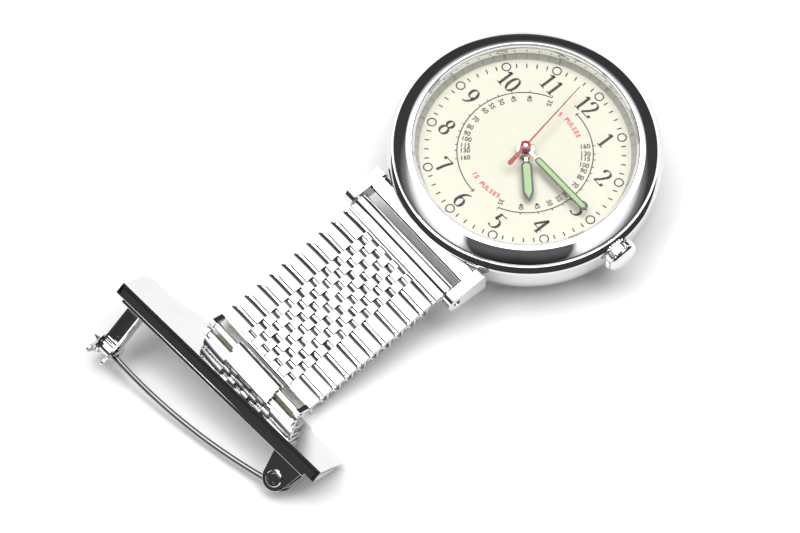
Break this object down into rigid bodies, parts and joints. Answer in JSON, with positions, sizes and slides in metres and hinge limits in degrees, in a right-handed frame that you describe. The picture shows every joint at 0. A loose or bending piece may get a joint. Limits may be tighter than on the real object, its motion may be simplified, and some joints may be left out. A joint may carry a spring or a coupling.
{
  "type": "nurse's fob watch",
  "caption": "Round quartz fob watch with a cream dial, hanging from a short expansion band on a long bar brooch with a hinged pin and a turning safety catch.",
  "frame": {"origin": "centre of the flat case back, the face the watch head lies on", "axes": "+Z out of the dial, +Y to twelve o'clock, +X to the crown; the band and the brooch run to -Y"},
  "size_m": [0.0296, 0.0616, 0.0077],
  "materials": {
    "chromed_case": "bright polished plating",
    "steel_back": "fine brushed",
    "crystal": "clear polished",
    "gasket": "matt",
    "rehaut": "satin paint",
    "dial": "cream paint, satin",
    "movement_plastic": "moulded, matt",
    "plate_brass": "gilt, fine satin",
    "bridge_nickel": "nickel plated, satin",
    "screw_steel": "polished",
    "cell": "nickel plated, satin",
    "soft_iron": "satin",
    "coil_copper": "enamelled copper wire",
    "circuit": "solder mask, satin",
    "can": "tinned",
    "wheel_brass": "polished",
    "wheel_plastic": "moulded",
    "hand_black": "gloss black with pale green lume",
    "hand_red": "gloss red",
    "band_steel": "polished and fine brushed",
    "link_steel": "satin",
    "brooch_steel": "bright polished plating"
  },
  "bodies": {
    "watch_head": {"case_middle": "chromed_case", "bezel": "chromed_case", "crystal": "crystal", "crystal_gasket": "gasket", "rehaut_ring": "rehaut", "case_back": "steel_back", "dial": "dial", "movement_ring": "movement_plastic", "main_plate": "plate_brass", "train_bridge": "bridge_nickel", "movement_screws": "screw_steel", "battery": "cell", "stator": "soft_iron", "coil": "coil_copper", "circuit_board": "circuit", "quartz_can": "can", "crown_tube": "steel_back", "lug_spring_bar": "steel_back"},
    "seconds": {"fourth_wheel": "wheel_brass", "second_hand": "hand_red"},
    "motor_rotor": {"rotor": "soft_iron"},
    "intermediate": {"intermediate_wheel": "wheel_plastic"},
    "third": {"third_wheel": "wheel_brass"},
    "minutes": {"centre_wheel": "wheel_brass", "cannon_pinion": "wheel_brass", "minute_hand": "hand_black"},
    "motion_work": {"minute_wheel": "wheel_brass"},
    "hours": {"hour_wheel": "wheel_brass", "hour_hand": "hand_black"},
    "lever": {"setting_lever": "bridge_nickel"},
    "crown_and_stem": {"crown": "chromed_case", "setting_stem": "screw_steel"},
    "band_row_1": {"band_end_link": "band_steel", "band_cover_1": "band_steel"},
    "band_shell_1": {"band_underlink_1": "link_steel"},
    "band_row_2": {"band_cover_2": "band_steel"},
    "band_shell_2": {"band_underlink_2": "link_steel"},
    "band_row_3": {"band_cover_3": "band_steel"},
    "band_shell_3": {"band_underlink_3": "link_steel"},
    "band_row_4": {"band_cover_4": "band_steel"},
    "band_shell_4": {"band_underlink_4": "link_steel"},
    "band_row_5": {"band_cover_5": "band_steel"},
    "band_shell_5": {"band_underlink_5": "link_steel"},
    "band_row_6": {"band_cover_6": "band_steel"},
    "band_shell_6": {"band_underlink_6": "link_steel"},
    "band_row_7": {"band_cover_7": "band_steel"},
    "band_shell_7": {"band_underlink_7": "link_steel"},
    "band_row_8": {"band_cover_8": "band_steel"},
    "band_shell_8": {"band_underlink_8": "link_steel"},
    "band_row_9": {"band_cover_9": "band_steel"},
    "band_shell_9": {"band_underlink_9": "link_steel"},
    "band_row_10": {"band_cover_10": "band_steel", "band_end_shell": "band_steel", "end_spring_bar": "steel_back"},
    "brooch": {"brooch_plate": "brooch_steel", "brooch_strip": "brooch_steel", "hinge_rivet": "brooch_steel", "catch_housing": "brooch_steel"},
    "pin": {"brooch_pin": "brooch_steel"},
    "catch": {"catch_rotor": "brooch_steel"}
  },
  "joints": [
    {"name": "second_turn", "type": "hinge", "parent": "watch_head", "child": "seconds", "pos_m": [0, 0, 0.0053], "axis": [0, 0, 1], "continuous": true},
    {"name": "rotor_turn", "type": "hinge", "parent": "watch_head", "child": "motor_rotor", "pos_m": [0.00322, 0.00415, 0.0053], "axis": [0, 0, 1], "continuous": true},
    {"name": "intermediate_turn", "type": "hinge", "parent": "watch_head", "child": "intermediate", "pos_m": [0.00072, 0.0027, 0.0053], "axis": [0, 0, 1], "continuous": true},
    {"name": "third_turn", "type": "hinge", "parent": "watch_head", "child": "third", "pos_m": [-0.00254, -0.00092, 0.0053], "axis": [0, 0, 1], "continuous": true},
    {"name": "minute_turn", "type": "hinge", "parent": "watch_head", "child": "minutes", "pos_m": [0, 0, 0.0053], "axis": [0, 0, 1], "continuous": true},
    {"name": "motion_turn", "type": "hinge", "parent": "watch_head", "child": "motion_work", "pos_m": [-0.0024, 0, 0.0053], "axis": [0, 0, 1], "continuous": true},
    {"name": "hour_turn", "type": "hinge", "parent": "watch_head", "child": "hours", "pos_m": [0, 0, 0.0053], "axis": [0, 0, 1], "continuous": true},
    {"name": "crown_pull", "type": "slide", "parent": "watch_head", "child": "lever", "axis": [1, 0, 0], "range_m": [0, 0.0009]},
    {"name": "crown_turn", "type": "hinge", "parent": "lever", "child": "crown_and_stem", "pos_m": [0.014, 0, 0.0044], "axis": [1, 0, 0], "continuous": true},
    {"name": "lug_hinge", "type": "hinge", "parent": "watch_head", "child": "band_row_1", "pos_m": [0, -0.016, 0.00435], "axis": [1, 0, 0], "range_deg": [-90, 60]},
    {"name": "stretch_1", "type": "slide", "parent": "band_row_1", "child": "band_shell_1", "axis": [0, -0.9848, -0.1736], "range_m": [0, 0.0013], "stiffness_N_per_m": 600},
    {"name": "flex_1", "type": "hinge", "parent": "band_shell_1", "child": "band_row_2", "pos_m": [0, -0.01976, 0.00255], "axis": [1, 0, 0], "range_deg": [-1.5, 9], "stiffness_Nm_per_rad": 0.005},
    {"name": "stretch_2", "type": "slide", "parent": "band_row_2", "child": "band_shell_2", "axis": [0, -0.9848, -0.1736], "range_m": [0, 0.0013], "stiffness_N_per_m": 600},
    {"name": "flex_2", "type": "hinge", "parent": "band_shell_2", "child": "band_row_3", "pos_m": [0, -0.02137, 0.00227], "axis": [1, 0, 0], "range_deg": [-1.5, 9], "stiffness_Nm_per_rad": 0.005},
    {"name": "stretch_3", "type": "slide", "parent": "band_row_3", "child": "band_shell_3", "axis": [0, -0.9848, -0.1736], "range_m": [0, 0.0013], "stiffness_N_per_m": 600},
    {"name": "flex_3", "type": "hinge", "parent": "band_shell_3", "child": "band_row_4", "pos_m": [0, -0.02298, 0.00198], "axis": [1, 0, 0], "range_deg": [-1.5, 9], "stiffness_Nm_per_rad": 0.005},
    {"name": "stretch_4", "type": "slide", "parent": "band_row_4", "child": "band_shell_4", "axis": [0, -0.9848, -0.1736], "range_m": [0, 0.0013], "stiffness_N_per_m": 600},
    {"name": "flex_4", "type": "hinge", "parent": "band_shell_4", "child": "band_row_5", "pos_m": [0, -0.0246, 0.0017], "axis": [1, 0, 0], "range_deg": [-1.5, 9], "stiffness_Nm_per_rad": 0.005},
    {"name": "stretch_5", "type": "slide", "parent": "band_row_5", "child": "band_shell_5", "axis": [0, -0.9848, -0.1736], "range_m": [0, 0.0013], "stiffness_N_per_m": 600},
    {"name": "flex_5", "type": "hinge", "parent": "band_shell_5", "child": "band_row_6", "pos_m": [0, -0.02621, 0.00141], "axis": [1, 0, 0], "range_deg": [-1.5, 9], "stiffness_Nm_per_rad": 0.005},
    {"name": "stretch_6", "type": "slide", "parent": "band_row_6", "child": "band_shell_6", "axis": [0, -0.9848, -0.1736], "range_m": [0, 0.0013], "stiffness_N_per_m": 600},
    {"name": "flex_6", "type": "hinge", "parent": "band_shell_6", "child": "band_row_7", "pos_m": [0, -0.02783, 0.00113], "axis": [1, 0, 0], "range_deg": [-1.5, 9], "stiffness_Nm_per_rad": 0.005},
    {"name": "stretch_7", "type": "slide", "parent": "band_row_7", "child": "band_shell_7", "axis": [0, -0.9848, -0.1736], "range_m": [0, 0.0013], "stiffness_N_per_m": 600},
    {"name": "flex_7", "type": "hinge", "parent": "band_shell_7", "child": "band_row_8", "pos_m": [0, -0.02944, 0.00084], "axis": [1, 0, 0], "range_deg": [-1.5, 9], "stiffness_Nm_per_rad": 0.005},
    {"name": "stretch_8", "type": "slide", "parent": "band_row_8", "child": "band_shell_8", "axis": [0, -0.9848, -0.1736], "range_m": [0, 0.0013], "stiffness_N_per_m": 600},
    {"name": "flex_8", "type": "hinge", "parent": "band_shell_8", "child": "band_row_9", "pos_m": [0, -0.03106, 0.00056], "axis": [1, 0, 0], "range_deg": [-1.5, 9], "stiffness_Nm_per_rad": 0.005},
    {"name": "stretch_9", "type": "slide", "parent": "band_row_9", "child": "band_shell_9", "axis": [0, -0.9848, -0.1736], "range_m": [0, 0.0013], "stiffness_N_per_m": 600},
    {"name": "flex_9", "type": "hinge", "parent": "band_shell_9", "child": "band_row_10", "pos_m": [0, -0.03268, 0.00027], "axis": [1, 0, 0], "range_deg": [-1.5, 9], "stiffness_Nm_per_rad": 0.005},
    {"name": "brooch_hinge", "type": "hinge", "parent": "band_row_10", "child": "brooch", "pos_m": [0, -0.03527, 0.002], "axis": [1, 0, 0], "range_deg": [-90, 50]},
    {"name": "pin_swing", "type": "hinge", "parent": "brooch", "child": "pin", "pos_m": [0.01043, -0.04124, 0.00173], "axis": [0.1392, -0.6562, 0.7417], "range_deg": [0, 70]},
    {"name": "catch_turn", "type": "hinge", "parent": "brooch", "child": "catch", "pos_m": [-0.01096, -0.04533, 0.00212], "axis": [0.9903, 0.0922, -0.1042], "range_deg": [0, 100]}
  ],
  "couplings": [
    {"joint": "rotor_turn", "follows": "second_turn", "ratio": 30},
    {"joint": "intermediate_turn", "follows": "second_turn", "ratio": -6},
    {"joint": "third_turn", "follows": "second_turn", "ratio": -0.13333},
    {"joint": "minute_turn", "follows": "second_turn", "ratio": 0.016667},
    {"joint": "motion_turn", "follows": "second_turn", "ratio": -0.0055556},
    {"joint": "hour_turn", "follows": "second_turn", "ratio": 0.0013889},
    {"joint": "stretch_2", "follows": "stretch_1", "ratio": 1},
    {"joint": "stretch_3", "follows": "stretch_1", "ratio": 1},
    {"joint": "stretch_4", "follows": "stretch_1", "ratio": 1},
    {"joint": "stretch_5", "follows": "stretch_1", "ratio": 1},
    {"joint": "stretch_6", "follows": "stretch_1", "ratio": 1},
    {"joint": "stretch_7", "follows": "stretch_1", "ratio": 1},
    {"joint": "stretch_8", "follows": "stretch_1", "ratio": 1},
    {"joint": "stretch_9", "follows": "stretch_1", "ratio": 1}
  ]
}
